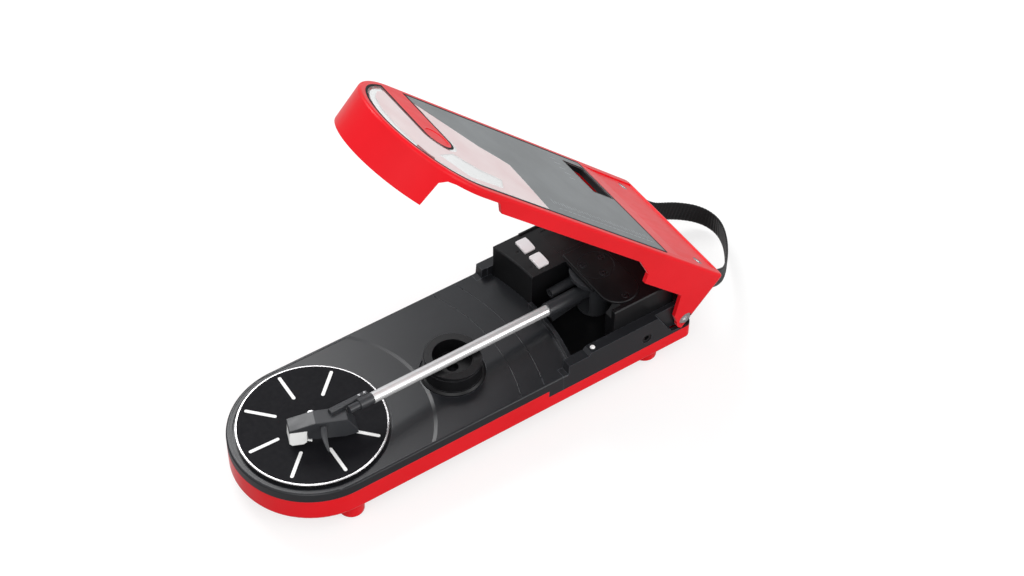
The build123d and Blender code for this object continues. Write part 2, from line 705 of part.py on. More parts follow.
def lid_shell():
    body = case_outline(HALF_WIDTH, LID_END, -16, LID_TOP, 4.0)
    body = fillet(body.edges().group_by(Axis.Z)[-1], 1.8)
    body = body & elevation(lid_side(), -60, 60)
    body -= case_outline(HALF_WIDTH - LID_SKIN, LID_END - LID_SKIN, -20, LID_TOP - LID_SKIN, 2.0)
    body -= block(205, LID_END + 3, -47.4, 47.4, -20, 6.4)
    # round the lugs about the hinge
    for y0, y1 in ((-51, -47.0), (47.0, 51)):
        low = elevation([(219, -7.3), (LID_END + 3, -7.3), (LID_END + 3, -18), (219, -18)], y0, y1)
        arc = rod_y(HINGE_X, HINGE_Z, y0 - 1, y1 + 1, 6.8)
        front = elevation([(219, -7.3), (232.6, -7.3), (232.6, -14.1)], y0, y1)
        body -= low - arc - front
    # inner pads of the lugs
    for s in (1, -1):
        body -= rod_y(HINGE_X, HINGE_Z, s * 46.0, s * 51.0, 2.15)
        body -= rod_y(HINGE_X, HINGE_Z, s * 47.95, s * 51.0, 4.7)
    # window seat
    body -= case_outline(WINDOW_R, WINDOW_END, LID_TOP - 1.8, LID_TOP + 1, 2.0)
    body -= case_outline(WINDOW_R - 2.4, WINDOW_END - 2.2, LID_TOP - 5, LID_TOP + 1, 2.0)
    # bridge that carries the clamp
    body += bridge(LID_TOP - 3.0, LID_TOP, 9.8)
    body -= rod(0, 0, LID_TOP - 0.35, LID_TOP + 1, 7.6)
    # band that slopes down behind the window to the sunk rear panel
    band = elevation([(WINDOW_END + 1.5, LID_TOP + 1), (WINDOW_END + 1.5, LID_TOP - 0.02),
                      (197.0, LID_TOP - PANEL_SINK), (LID_END - 3.4, LID_TOP - PANEL_SINK),
                      (LID_END - 2.4, LID_TOP + 1)], -44.0, 44.0)
    body -= band
    # cap screw wells
    for y in (-38.5, 38.5):
        body -= rod(221.0, y, LID_TOP - PANEL_SINK - 0.8, LID_TOP + 1, 3.6)
    # strap slots in the rear wall
    for y in (STRAP_FAR_Y, STRAP_NEAR_Y):
        body -= block(LID_END - 4, LID_END + 2, y - 1.0, y + 1.0, 10.4, 25.2)
    return opened(body)


def bridge(z0, z1, r):
    body = rod(0, 0, z0, z1, r)
    body += block(-r, r, 0, 47.0, z0, z1)
    return body


def lid_window():
    body = case_outline(WINDOW_R - 0.25, WINDOW_END - 0.25, LID_TOP - 1.8, LID_TOP - 0.02, 1.8)
    body -= bridge(LID_TOP - 5, LID_TOP + 2, 10.1)
    hatch = plan([(155.6, 6.8), (176.2, 6.8), (176.2, 39.4), (155.6, 39.4)], LID_TOP - 5, LID_TOP + 2)
    body -= hatch
    return opened(body)


def window_hatch():
    """Black collar lining the finger opening over the keys."""
    body = block(155.75, 176.05, 6.95, 39.25, LID_TOP - 3.4, LID_TOP - 0.25)
    body -= block(157.4, 174.4, 8.6, 37.6, LID_TOP - 6, LID_TOP + 1)
    return opened(body)


def lid_screws():
    heads = []
    for y in (-38.5, 38.5):
        head = rod(221.0, y, LID_TOP - PANEL_SINK - 0.8, LID_TOP - PANEL_SINK - 0.1, 3.45)
        head -= plan([(221.0 + 1.5 * math.cos(math.radians(60 * k)),
                       y + 1.5 * math.sin(math.radians(60 * k))) for k in range(6)],
                     LID_TOP - PANEL_SINK - 0.5, LID_TOP + 1)
        heads.append(head)
    return opened(many(heads))


def clamp_sleeve():
    body = ring(0, 0, 10.0, LID_TOP - 3.0, 5.9, 5.15)
    return opened(body)


def clamp_foot():
    body = ring(0, 0, 1.2, 3.4, 6.9, 4.2)
    body += ring(0, 0, 3.4, 17.0, 4.95, 4.2)
    return opened(body)


def hinge_screws():
    out = []
    for s in (1, -1):
        head = rod_y(HINGE_X, HINGE_Z, s * 48.0, s * 49.0, 4.3)
        shank = rod_y(HINGE_X, HINGE_Z, s * 37.5, s * 48.1, 2.1)
        body = head + shank
        socket = Pos(HINGE_X, s * 49.2, HINGE_Z) * Rot(90, 0, 0) * extrude(
            RegularPolygon(1.9, 6), amount=1.0, both=True)
        out.append(body - socket)
    return many(out)


def hinge_bushes():
    out = []
    for s in (1, -1):
        bush = rod_y(HINGE_X, HINGE_Z, s * 38.0, s * 43.4, 3.0)
        out.append(bush - rod_y(HINGE_X, HINGE_Z, s * 37, s * 44, 2.15))
    return many(out)


def strap_anchors():
    """Black eyelets round the strap's slots on the rear wall of the lid."""
    out = []
    for y in (STRAP_FAR_Y, STRAP_NEAR_Y):
        plate = block(LID_END, LID_END + 1.0, y - 2.8, y + 2.8, 8.4, 26.2)
        plate = fillet(plate.edges().filter_by(Axis.X), 1.2)
        out.append(plate - block(LID_END - 1, LID_END + 2, y - 1.0, y + 1.0, 10.4, 25.2))
    return opened(many(out))


def hand_strap():
    """Webbing loop behind the lid, plain flat band."""
    pieces = None
    frames = [strap_face(k) for k in range(len(STRAP))]
    for a, b in zip(frames, frames[1:]):
        seg = loft([a, b])
        pieces = seg if pieces is None else pieces + seg
    return pieces


def strap_face(k):
    """Cross-section of the band at one point of its middle line."""
    here = Vector(*STRAP[k][:3])
    ahead = Vector(*STRAP[min(k + 1, len(STRAP) - 1)][:3])
    behind = Vector(*STRAP[max(k - 1, 0)][:3])
    along = (ahead - behind).normalized()
    lean = STRAP[k][3]
    wide = Vector(lean, 0, math.sqrt(1 - lean * lean))
    wide = (wide - along * wide.dot(along)).normalized()
    out = wide.cross(along).normalized()
    across = wide * STRAP_HALF
    thick = out * 0.6
    corners = [here - across - thick, here - across + thick,
               here + across + thick, here + across - thick]
    return make_face(Polyline(*corners, close=True))


def main():
    os.makedirs("parts", exist_ok=True)
    builders = [base_tub, feet, foot_pads, deck_plate, side_rails, bearing_bush, battery, circuit_board,
                board_parts, audio_jack, charge_socket, indicator_light, motor, motor_pulley,
                drive_belt, sub_platter, platter, slip_mat, mat_bars, spindle, block_housing,
                pivot_cover, cover_screws, play_key, speed_key, switch_board, bay_tray,
                pivot_post, ep_adaptor, turret, cross_pin, arm_root, arm_tube, head_collar,
                collar_screws, headshell, cartridge, stylus, finger_lift, lid_shell, lid_window,
                window_hatch, lid_screws, clamp_sleeve, clamp_foot, hinge_screws, hinge_bushes,
                strap_anchors, hand_strap]
    for build in builders:
        save(build(), build.__name__)


main()
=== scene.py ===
"""Looks of the portable clamshell record player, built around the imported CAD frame."""
import math
import bmesh
import bpy
from mathutils import Vector, Matrix
from mathutils.geometry import tessellate_polygon


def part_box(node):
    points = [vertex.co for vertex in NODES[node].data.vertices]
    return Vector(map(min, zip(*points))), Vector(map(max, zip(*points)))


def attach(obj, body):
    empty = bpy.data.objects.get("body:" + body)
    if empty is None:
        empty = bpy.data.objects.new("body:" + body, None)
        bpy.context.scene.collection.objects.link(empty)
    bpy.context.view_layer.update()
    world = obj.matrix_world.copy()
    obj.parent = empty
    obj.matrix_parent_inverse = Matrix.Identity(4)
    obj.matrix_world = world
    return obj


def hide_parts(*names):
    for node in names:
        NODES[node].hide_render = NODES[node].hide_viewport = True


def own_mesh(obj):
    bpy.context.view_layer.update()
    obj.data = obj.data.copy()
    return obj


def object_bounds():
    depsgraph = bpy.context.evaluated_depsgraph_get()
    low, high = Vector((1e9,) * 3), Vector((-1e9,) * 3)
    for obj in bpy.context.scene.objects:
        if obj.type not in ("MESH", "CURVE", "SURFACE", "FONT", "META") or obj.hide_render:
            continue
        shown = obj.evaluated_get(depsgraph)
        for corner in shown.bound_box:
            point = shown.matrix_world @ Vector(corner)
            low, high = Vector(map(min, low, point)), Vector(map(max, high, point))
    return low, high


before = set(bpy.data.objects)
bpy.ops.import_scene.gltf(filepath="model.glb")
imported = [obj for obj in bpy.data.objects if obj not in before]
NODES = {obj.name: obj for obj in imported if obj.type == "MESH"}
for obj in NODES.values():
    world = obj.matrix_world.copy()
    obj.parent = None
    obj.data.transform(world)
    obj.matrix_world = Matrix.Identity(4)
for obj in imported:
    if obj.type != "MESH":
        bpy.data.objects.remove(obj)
cad_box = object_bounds()

# places and lengths are in millimetres in the part's own frame, unless a comment says otherwise
MM = 0.001
HINGE = Vector((232.6, 0.0, -7.3))
LID_OPEN = math.radians(44.06)
LID_TOP = 27.5
DECK_TOP = -3.0


# ---------- camera ----------

CAMERA_AZIMUTH = math.radians(-34.36)
CAMERA_ELEVATION = math.radians(47.18)
CAMERA_ROLL = math.radians(0.47)
CAMERA_TARGET = Vector((155.38, 24.13, 0.0))
CAMERA_DISTANCE = 1345.28
CAMERA_LENS = 77.57
SENSOR_WIDTH = 36.0


def make_camera():
    """Camera on a sphere about its target, rolled slightly about its own axis."""
    azimuth, elevation, roll = CAMERA_AZIMUTH, CAMERA_ELEVATION, CAMERA_ROLL
    back = Vector((math.sin(azimuth) * math.cos(elevation),
                   -math.cos(azimuth) * math.cos(elevation), math.sin(elevation)))
    right = Vector((math.cos(azimuth), math.sin(azimuth), 0.0))
    up = back.cross(right)
    turned_right = right * math.cos(roll) + up * math.sin(roll)
    turned_up = up * math.cos(roll) - right * math.sin(roll)
    data = bpy.data.cameras.new("camera")
    data.lens = CAMERA_LENS
    data.sensor_width = SENSOR_WIDTH
    data.clip_start = 0.05
    data.clip_end = 60.0
    camera = bpy.data.objects.new("camera", data)
    bpy.context.scene.collection.objects.link(camera)
    turn = Matrix((turned_right, turned_up, back)).transposed().to_4x4()
    turn.translation = (CAMERA_TARGET + back * CAMERA_DISTANCE) * MM
    camera.matrix_world = turn
    bpy.context.scene.camera = camera


make_camera()


# ---------- lid frame ----------

def opened(x, y, z):
    """Place of a closed-lid point, in mm, once the lid is propped open."""
    dx = x - HINGE.x
    dz = z - HINGE.z
    c = math.cos(LID_OPEN)
    s = math.sin(LID_OPEN)
    return Vector((HINGE.x + dx * c + dz * s, y, HINGE.z - dx * s + dz * c))


# ---------- materials ----------

# all lengths in this section are in metres, and a noise's scale is in cells per metre

class Maker:
    """Small helper that wires one procedural material."""

    def __init__(self, name):
        self.material = bpy.data.materials.new(name)
        self.material.use_nodes = True
        self.tree = self.material.node_tree
        self.tree.nodes.clear()
        self.shader = self.node("ShaderNodeBsdfPrincipled")
        self.out = self.node("ShaderNodeOutputMaterial")
        self.link(self.shader.outputs["BSDF"], self.out.inputs["Surface"])
        self.where = self.node("ShaderNodeTexCoord").outputs["Object"]

    def node(self, kind, **values):
        made = self.tree.nodes.new(kind)
        for key, value in values.items():
            setattr(made, key, value)
        return made

    def link(self, a, b):
        self.tree.links.new(a, b)

    def set(self, **values):
        for key, value in values.items():
            self.shader.inputs[key.replace("_", " ")].default_value = value

    def noise(self, scale, detail=2.0, rough=0.5, stretch=None):
        place = self.where
        if stretch:
            squeeze = self.node("ShaderNodeMapping")
            squeeze.inputs["Scale"].default_value = stretch
            self.link(place, squeeze.inputs["Vector"])
            place = squeeze.outputs["Vector"]
        made = self.node("ShaderNodeTexNoise")
        made.inputs["Scale"].default_value = scale
        made.inputs["Detail"].default_value = detail
        made.inputs["Roughness"].default_value = rough
        self.link(place, made.inputs["Vector"])
        return made.outputs["Fac"]

    def ramp(self, source, low, high, start=0.35, end=0.65):
        """Value that runs from low to high while the source runs from start to end."""
        made = self.node("ShaderNodeMapRange")
        made.inputs["From Min"].default_value = start
        made.inputs["From Max"].default_value = end
        made.inputs["To Min"].default_value = low
        made.inputs["To Max"].default_value = high
        self.link(source, made.inputs["Value"])
        return made.outputs["Result"]

    def colours(self, source, dark, light, start=0.35, end=0.65):
        """Colour that runs from dark to light while the source runs from start to end."""
        made = self.node("ShaderNodeValToRGB")
        made.color_ramp.elements[0].position = start
        made.color_ramp.elements[0].color = (*dark, 1.0)
        made.color_ramp.elements[1].position = end
        made.color_ramp.elements[1].color = (*light, 1.0)
        self.link(source, made.inputs["Fac"])
        return made.outputs["Color"]

    def mix(self, share, a, b):
        """Colour a, a socket, blended by the share towards colour b, a tuple."""
        made = self.node("ShaderNodeMix", data_type="RGBA")
        factor, first, second = (made.inputs[k] for k in (0, 6, 7))
        self.link(share, factor)
        self.link(a, first)
        second.default_value = (*b, 1.0)
        return made.outputs[2]

    def edges(self, radius):
        """A value that is 0 on flat ground and 1 on edges, and the rounded normal."""
        rounded = self.node("ShaderNodeBevel", samples=4)
        rounded.inputs["Radius"].default_value = radius
        plain = self.node("ShaderNodeNewGeometry")
        compare = self.node("ShaderNodeVectorMath", operation="DOT_PRODUCT")
        self.link(rounded.outputs["Normal"], compare.inputs[0])
        self.link(plain.outputs["Normal"], compare.inputs[1])
        edge_wear_and_highlight = self.ramp(compare.outputs["Value"], low=1.0, high=0.0, start=0.80, end=0.995)
        return edge_wear_and_highlight, rounded.outputs["Normal"]

    def bump(self, height, distance, strength=1.0, normal=None):
        made = self.node("ShaderNodeBump")
        made.inputs["Strength"].default_value = strength
        made.inputs["Distance"].default_value = distance
        self.link(height, made.inputs["Height"])
        if normal is not None:
            self.link(normal, made.inputs["Normal"])
        return made.outputs["Normal"]

    def finish_normal(self, normal):
        self.link(normal, self.shader.inputs["Normal"])


def moulded(name, dark, light, rough, grain=2200.0, depth=0.00002, edge=0.00025,
            edge_gain=1.6, edge_share=(0.1, 0.75), rounding=True, smear=0.04, **sockets):
    """Moulded plastic: faint mottling, fine spark grain, edges lighter: partly rubbed wear, partly a
    painted highlight.
    """
    m = Maker(name)
    least_lift = 0.004
    mottle = m.noise(scale=28.0, detail=4.0)
    body = m.colours(mottle, dark, light)
    # edges lighter than the body, broken up by noise: partly rubbed wear, partly a painted highlight along
    # the edges
    edge_wear_and_highlight, rounded = m.edges(edge)
    wear_and_highlight_colour = tuple(min(1.0, v * edge_gain + least_lift) for v in light)
    patchy_wear_and_highlight = m.ramp(m.noise(scale=160.0, detail=3.0), *edge_share)
    share = m.node("ShaderNodeMath", operation="MULTIPLY")
    m.link(edge_wear_and_highlight, share.inputs[0])
    m.link(patchy_wear_and_highlight, share.inputs[1])
    m.link(m.mix(share.outputs["Value"], body, wear_and_highlight_colour), m.shader.inputs["Base Color"])
    smears = m.noise(scale=70.0, detail=3.0, stretch=(1.0, 2.5, 1.0))
    m.link(m.ramp(smears, rough - smear, rough + smear), m.shader.inputs["Roughness"])
    base_normal = rounded if rounding else None
    m.finish_normal(m.bump(m.noise(grain, detail=1.0), depth, strength=0.6, normal=base_normal))
    m.set(**sockets)
    return m.material


def turned(name, colour, rough, **sockets):
    """Metal cut on a lathe about z: fine rings and slight tarnish."""
    m = Maker(name)
    tarnish = m.noise(scale=45.0, detail=3.0)
    shade = tuple(v * 0.93 for v in colour)
    m.link(m.colours(tarnish, shade, colour), m.shader.inputs["Base Color"])
    rings = m.node("ShaderNodeTexWave", wave_type="RINGS", rings_direction="Z")
    rings.inputs["Scale"].default_value = 2600.0
    rings.inputs["Distortion"].default_value = 0.6
    m.link(m.where, rings.inputs["Vector"])
    m.link(m.ramp(m.noise(scale=300.0), rough - 0.03, rough + 0.05), m.shader.inputs["Roughness"])
    _, rounded = m.edges(radius=0.00015)
    m.finish_normal(m.bump(rings.outputs["Fac"], distance=0.000004, strength=0.5, normal=rounded))
    m.set(Metallic=1.0, **sockets)
    return m.material


def drawn(name, colour, rough, stretch, **sockets):
    """Metal with fine lines drawn along one axis."""
    m = Maker(name)
    tarnish = m.noise(scale=60.0, detail=3.0)
    shade = tuple(v * 0.94 for v in colour)
    m.link(m.colours(tarnish, shade, colour), m.shader.inputs["Base Color"])
    lines = m.noise(scale=1500.0, detail=2.0, stretch=stretch)
    m.link(m.ramp(lines, rough - 0.03, rough + 0.05), m.shader.inputs["Roughness"])
    m.finish_normal(m.bump(lines, distance=0.000003, strength=0.4))
    m.set(**{"Metallic": 1.0, **sockets})
    return m.material


def rubbery(name, dark, light, rough, specular=0.3):
    """Dull, grainy surface with a little dust: rubber, and sintered bronze."""
    m = Maker(name)
    dust = m.noise(scale=50.0, detail=5.0, rough=0.6)
    m.link(m.colours(dust, dark, light), m.shader.inputs["Base Color"])
    patches = m.noise(scale=400.0, detail=3.0)
    m.link(m.ramp(patches, rough - 0.05, rough + 0.06), m.shader.inputs["Roughness"])
    m.finish_normal(m.bump(m.noise(scale=1500.0, detail=2.0), distance=0.00004, strength=0.7))
    m.set(Specular_IOR_Level=specular)
    return m.material


def window_glass():
    """Clear acrylic with a faint cloudiness."""
    m = Maker("smoked_window")
    haze = m.noise(scale=18.0, detail=3.0)
    tint = m.colours(haze, dark=(0.90, 0.915, 0.915), light=(0.94, 0.955, 0.955))
    m.link(tint, m.shader.inputs["Base Color"])
    smudges = m.noise(scale=240.0, detail=3.0)
    m.link(m.ramp(smudges, low=0.010, high=0.035), m.shader.inputs["Roughness"])
    m.finish_normal(m.bump(m.noise(scale=900.0, detail=1.0), distance=0.000002, strength=0.2))
    m.set(Transmission_Weight=1.0, IOR=1.5)
    return m.material


def glossy_film(name, dark, light, rough):
    """Glossy sheet on the window, for print and for a painted reflection: even, with a faint cloudiness."""
    m = Maker(name)
    cloud = m.noise(scale=35.0, detail=4.0)
    m.link(m.colours(cloud, dark, light), m.shader.inputs["Base Color"])
    smudges = m.noise(scale=300.0, detail=3.0)
    m.link(m.ramp(smudges, rough, rough + 0.04), m.shader.inputs["Roughness"])
    m.finish_normal(m.bump(m.noise(scale=1200.0, detail=1.0), distance=0.000001, strength=0.2))
    return m.material


def webbing_cloth():
    """Black polyester webbing; the ribs themselves are in the mesh."""
    m = Maker("webbing_cloth")
    threads = m.node("ShaderNodeTexWave", wave_type="BANDS", bands_direction="Z")
    threads.inputs["Scale"].default_value = 420.0
    threads.inputs["Distortion"].default_value = 1.5
    m.link(m.where, threads.inputs["Vector"])
    weave = m.colours(threads.outputs["Fac"], dark=(0.004, 0.004, 0.0045),
                      light=(0.012, 0.012, 0.013), start=0.2, end=0.8)
    m.link(weave, m.shader.inputs["Base Color"])
    fuzz = m.noise(scale=900.0, detail=3.0)
    m.link(m.ramp(fuzz, low=0.62, high=0.82), m.shader.inputs["Roughness"])
    m.finish_normal(m.bump(m.noise(scale=2600.0, detail=3.0), distance=0.00008, strength=0.8))
    m.set(Sheen_Weight=0.25, Sheen_Roughness=0.4, Specular_IOR_Level=0.3)
    return m.material


# moulded, rubbery and film finishes take a darkest colour, a lightest colour and a roughness
RED = moulded("red_shell", (0.770, 0.0040, 0.0100), (0.820, 0.0052, 0.0130), 0.36, grain=1400.0,
              depth=0.000008, edge_gain=1.15,
              Specular_IOR_Level=0.20, Sheen_Weight=0.30, Sheen_Roughness=0.30)
# the deck's edges are lightened strongly: mostly a painted highlight along them, with some rubbed wear
DECK = moulded("deck_black", (0.0125, 0.0132, 0.0155), (0.0155, 0.0164, 0.0190), 0.30, grain=900.0,
               depth=0.000004, edge_gain=12.0, edge_share=(0.5, 0.95), rounding=False, smear=0.006,
               Specular_IOR_Level=0.38)
# these parts' edges are lightened strongly: mostly a painted highlight along them, with some rubbed wear
BLACK = moulded("part_black", (0.0050, 0.0050, 0.0056), (0.0070, 0.0070, 0.0078), 0.36, edge_gain=12.0,
                edge_share=(0.35, 0.9), Specular_IOR_Level=0.28)
HEAD = moulded("head_black", (0.0270, 0.0285, 0.0320), (0.0330, 0.0345, 0.0385), 0.38, edge_gain=2.4)
WHITE = moulded("white_plastic", (0.90, 0.90, 0.89), (0.95, 0.95, 0.94), 0.40, edge_gain=1.0)
PEARL = moulded("pearl_key", (0.90, 0.86, 0.87), (0.96, 0.94, 0.945), 0.20, edge_gain=1.0,
                Metallic=0.10)
MAT = rubbery("mat_rubber", (0.0060, 0.0060, 0.0078), (0.0085, 0.0085, 0.0105), 0.62, specular=0.12)
RUBBER = rubbery("foot_rubber", (0.012, 0.012, 0.012), (0.020, 0.020, 0.020), 0.75)
RIM = turned("turned_rim", (0.50, 0.49, 0.495), 0.24, Anisotropic=0.4)
TUBE = drawn("polished_tube", (0.97, 0.965, 0.965), 0.20, (0.02, 1.0, 1.0), Metallic=0.62)
STEEL = turned("bright_steel", (0.72, 0.72, 0.73), 0.22)
DARK_STEEL = turned("black_steel", (0.060, 0.060, 0.065), 0.30)
BRONZE = rubbery("sintered_bronze", (0.33, 0.20, 0.09), (0.45, 0.28, 0.13), 0.45)
PLATED = drawn("plated_steel", (0.52, 0.53, 0.55), 0.28, (1.0, 1.0, 0.05))
BOARD = moulded("board_green", (0.010, 0.085, 0.030), (0.015, 0.120, 0.045), 0.30)
CHIP = moulded("chip_black", (0.010, 0.010, 0.010), (0.016, 0.016, 0.016), 0.5)
CELL = moulded("cell_wrap", (0.020, 0.075, 0.260), (0.028, 0.095, 0.320), 0.28)
GLASS = window_glass()
# the smoke print's grey is raised to stand in for the window's reflection: print with a painted reflection
INK_AND_REFLECTION = glossy_film("smoke_ink_and_painted_reflection", (0.165, 0.180, 0.186), (0.200, 0.218, 0.225), 0.04)
GASKET = rubbery("gasket_rubber", (0.004, 0.005, 0.006), (0.007, 0.008, 0.009), 0.55)
# pale pink sheet over the window's front: a painted reflection
PAINTED_REFLECTION = glossy_film("painted_window_reflection", (0.90, 0.70, 0.70), (0.95, 0.80, 0.795), 0.04)
# the bead is a shade lighter than the deck: a painted highlight along the lines
BEAD = moulded("deck_bead", (0.016, 0.017, 0.019), (0.020, 0.021, 0.023), 0.26, edge=0.00005,
               Specular_IOR_Level=0.3)
MARKS = glossy_film("pale_marks", (0.36, 0.39, 0.41), (0.42, 0.45, 0.47), 0.10)
CLOTH = webbing_cloth()

FINISH = {
    "base_tub": RED, "feet": RED, "lid_shell": RED, "clamp_sleeve": RED,
    "deck_plate": DECK, "side_rails": DECK, "block_housing": BLACK, "pivot_cover": BLACK, "bay_tray": BLACK,
    # turret and arm_root take the lighter head_black rather than part_black: painted light on these parts
    "window_hatch": BLACK, "ep_adaptor": BLACK, "turret": HEAD, "arm_root": HEAD,
    "audio_jack": BLACK, "sub_platter": BLACK, "clamp_foot": BLACK, "strap_anchors": BLACK,
    "head_collar": HEAD, "headshell": HEAD,
    "indicator_light": WHITE, "mat_bars": WHITE, "cartridge": WHITE, "stylus": WHITE,
    "play_key": PEARL, "speed_key": PEARL, "slip_mat": MAT,
    "foot_pads": RUBBER, "drive_belt": RUBBER, "platter": RIM, "arm_tube": TUBE,
    "spindle": STEEL, "cross_pin": STEEL, "collar_screws": STEEL, "lid_screws": STEEL,
    "hinge_screws": STEEL, "cover_screws": DARK_STEEL, "bearing_bush": BRONZE,
    "hinge_bushes": BRONZE, "motor_pulley": BRONZE, "motor": PLATED, "pivot_post": PLATED,
    "charge_socket": PLATED, "circuit_board": BOARD, "switch_board": BOARD,
    "board_parts": CHIP, "battery": CELL, "lid_window": GLASS,
}


def dress_frame():
    """Gives each CAD node its finish, but for the two that finer pieces replace further down."""
    for name, material in FINISH.items():
        mesh = NODES[name].data
        mesh.materials.clear()
        mesh.materials.append(material)


dress_frame()


# ---------- mesh helpers ----------

def mesh_piece(name, points, faces, material, body, smooth=True):
    """One mesh piece from mm points, riding on a body."""
    mesh = bpy.data.meshes.new(name)
    mesh.from_pydata([tuple(Vector(p) * MM) for p in points], [], faces)
    mesh.validate()
    mesh.update()
    if smooth:
        mesh.shade_smooth()
    mesh.materials.append(material)
    piece = bpy.data.objects.new(name, mesh)
    bpy.context.scene.collection.objects.link(piece)
    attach(piece, body)
    return piece


def smooth_line(knots, steps):
    """Points of a smooth curve through the knots, each knot a tuple of numbers."""
    head = tuple(2 * a - b for a, b in zip(knots[0], knots[1]))
    tail = tuple(2 * a - b for a, b in zip(knots[-1], knots[-2]))
    row = [head, *knots, tail]
    line = []
    for k in range(1, len(row) - 2):
        p0, p1, p2, p3 = row[k - 1:k + 3]
        for s in range(steps):
            t = s / steps
            line.append(tuple(0.5 * (2 * b + (c - a) * t + (2 * a - 5 * b + 4 * c - d) * t * t
                                     + (3 * b - a - 3 * c + d) * t ** 3)
                              for a, b, c, d in zip(p0, p1, p2, p3)))
    line.append(tuple(row[-2]))
    return line


# ---------- hand strap ----------

# middle line of the webbing with the lid propped open, each point followed by its width's lean in x
STRAP_KNOTS = (
    (253.4, 40.0, 5.0, 0.695), (262.5, 41.6, -5.0, 0.42), (273.5, 42.0, -15.0, 0.12),
    (288.9, 38.5, -20.0, 0.0), (299.3, 33.6, -23.1, 0.0), (305.7, 27.6, -25.0, 0.0),
    (308.6, 20.6, -25.9, 0.0), (308.4, 12.9, -25.8, 0.0), (305.5, 4.7, -25.0, 0.0),
    (300.6, -3.8, -23.6, 0.0), (294.4, -12.2, -21.6, 0.0), (287.3, -20.1, -18.5, 0.02),
    (279.0, -27.5, -13.5, 0.12), (268.5, -34.0, -6.0, 0.40), (253.4, -39.0, 5.0, 0.695),
)
STRAP_WIDTH = 15.0
STRAP_THICK = 1.1
STRAP_STEPS = 24
STRAP_ACROSS = 14
EDGE_INSET = 0.2
EDGE_THINNING = 0.45
RIB_PITCH = 2.4
RIB_HEIGHT = 0.26
RIB_OVERHANG = 0.16


def hand_strap():
    """Webbing with ribs across it, swept along the strap's middle line."""
    line = smooth_line(STRAP_KNOTS, STRAP_STEPS)
    travel = [0.0]
    for a, b in zip(line, line[1:]):
        travel.append(travel[-1] + (Vector(b[:3]) - Vector(a[:3])).length)
    points = []
    for k, knot in enumerate(line):
        centre = Vector(knot[:3])
        ahead = Vector(line[min(k + 1, len(line) - 1)][:3])
        behind = Vector(line[max(k - 1, 0)][:3])
        along = (ahead - behind).normalized()
        wide = Vector((knot[3], 0.0, math.sqrt(1 - knot[3] ** 2)))
        wide = (wide - along * wide.dot(along)).normalized()
        out = wide.cross(along).normalized()
        rib = 0.5 + 0.5 * math.cos(math.tau * travel[k] / RIB_PITCH)
        reach = STRAP_WIDTH / 2 - EDGE_INSET + RIB_OVERHANG * rib
        for side in (1, -1):
            for j in range(STRAP_ACROSS + 1):
                v = j / STRAP_ACROSS * 2 - 1
                edge = abs(v) ** 6
                swell = STRAP_THICK / 2 * (1 - EDGE_THINNING * edge) + RIB_HEIGHT * rib * (1 - edge)
                points.append(centre + wide * v * side * reach + out * side * swell)
    ring = 2 * (STRAP_ACROSS + 1)
    faces = []
    for k in range(len(line) - 1):
        for j in range(ring):
            a = k * ring + j
            b = k * ring + (j + 1) % ring
            faces.append((a, b, b + ring, a + ring))
    faces.append(tuple(range(ring))[::-1])
    faces.append(tuple(range(len(points) - ring, len(points))))
    piece = mesh_piece("strap_webbing", points, faces, CLOTH, "lid")
    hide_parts("hand_strap")
    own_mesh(piece)


hand_strap()


# ---------- finger lift ----------

# the direction along the headshell, in degrees about z, and how far the lift sticks out from it
LIFT_TURN = 159.88
LIFT_REACH = 13.2
LIFT_RINGS = 16
LIFT_SIDES = 14
# at the root: drop below the top of the CAD lift's box, half width, half thickness, lean outwards
ROOT_DROP = 0.5
ROOT_WIDE = 1.95
ROOT_THICK = 0.62
ROOT_LEAN = 0.25
# what the length adds to the drop and the lean, and takes off the half width and half thickness
SLOPE = 1.2
DIP = 7.0
LEAN_GAIN = 0.9
TAPER = 0.45
TIP_TAPER = 0.95
THINNING = 0.18
# bow of the middle line along the headshell, and where its tip ends up
BOW = 0.9
TIP_SHIFT = -0.3
# the last ring is smaller, to round the tip off
TIP_WIDE = 0.45
TIP_THICK = 0.5


def finger_lift():
    """Horn-shaped lift that leaves the shell's near side, dips and tapers to a round end."""
    low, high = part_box("finger_lift")
    low = Vector(low) / MM
    high = Vector(high) / MM
    turn = math.radians(LIFT_TURN)
    along = Vector((math.cos(turn), math.sin(turn), 0.0))
    out = Vector((-along.y, along.x, 0.0))
    middle = (low + high) / 2
    root = Vector((middle.x, middle.y, high.z)) - out * LIFT_REACH / 2
    points = []
    for k in range(LIFT_RINGS + 1):
        t = k / LIFT_RINGS
        drop = ROOT_DROP + SLOPE * t + DIP * t * t
        wide = ROOT_WIDE - TAPER * t - TIP_TAPER * t ** 3
        thick = ROOT_THICK - THINNING * t
        if k == LIFT_RINGS:
            wide *= TIP_WIDE
            thick *= TIP_THICK
        sway = BOW * math.sin(math.pi * t) + TIP_SHIFT * t
        centre = root + out * (LIFT_REACH * t) + along * sway - Vector((0.0, 0.0, drop))
        lean = (Vector((0.0, 0.0, 1.0)) + out * (ROOT_LEAN + LEAN_GAIN * t)).normalized()
        for j in range(LIFT_SIDES):
            a = math.tau * j / LIFT_SIDES
            points.append(centre + along * wide * math.cos(a) + lean * thick * math.sin(a))
    faces = []
    for k in range(LIFT_RINGS):
        near = k * LIFT_SIDES
        far = near + LIFT_SIDES
        for j in range(LIFT_SIDES):
            n = (j + 1) % LIFT_SIDES
            faces.append((near + j, near + n, far + n, far + j))
    faces.append(tuple(range(LIFT_SIDES))[::-1])
    faces.append(tuple(range(len(points) - LIFT_SIDES, len(points))))
    piece = mesh_piece("finger_lift_horn", points, faces, HEAD, "tonearm")
    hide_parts("finger_lift")


finger_lift()


# ---------- window details ----------

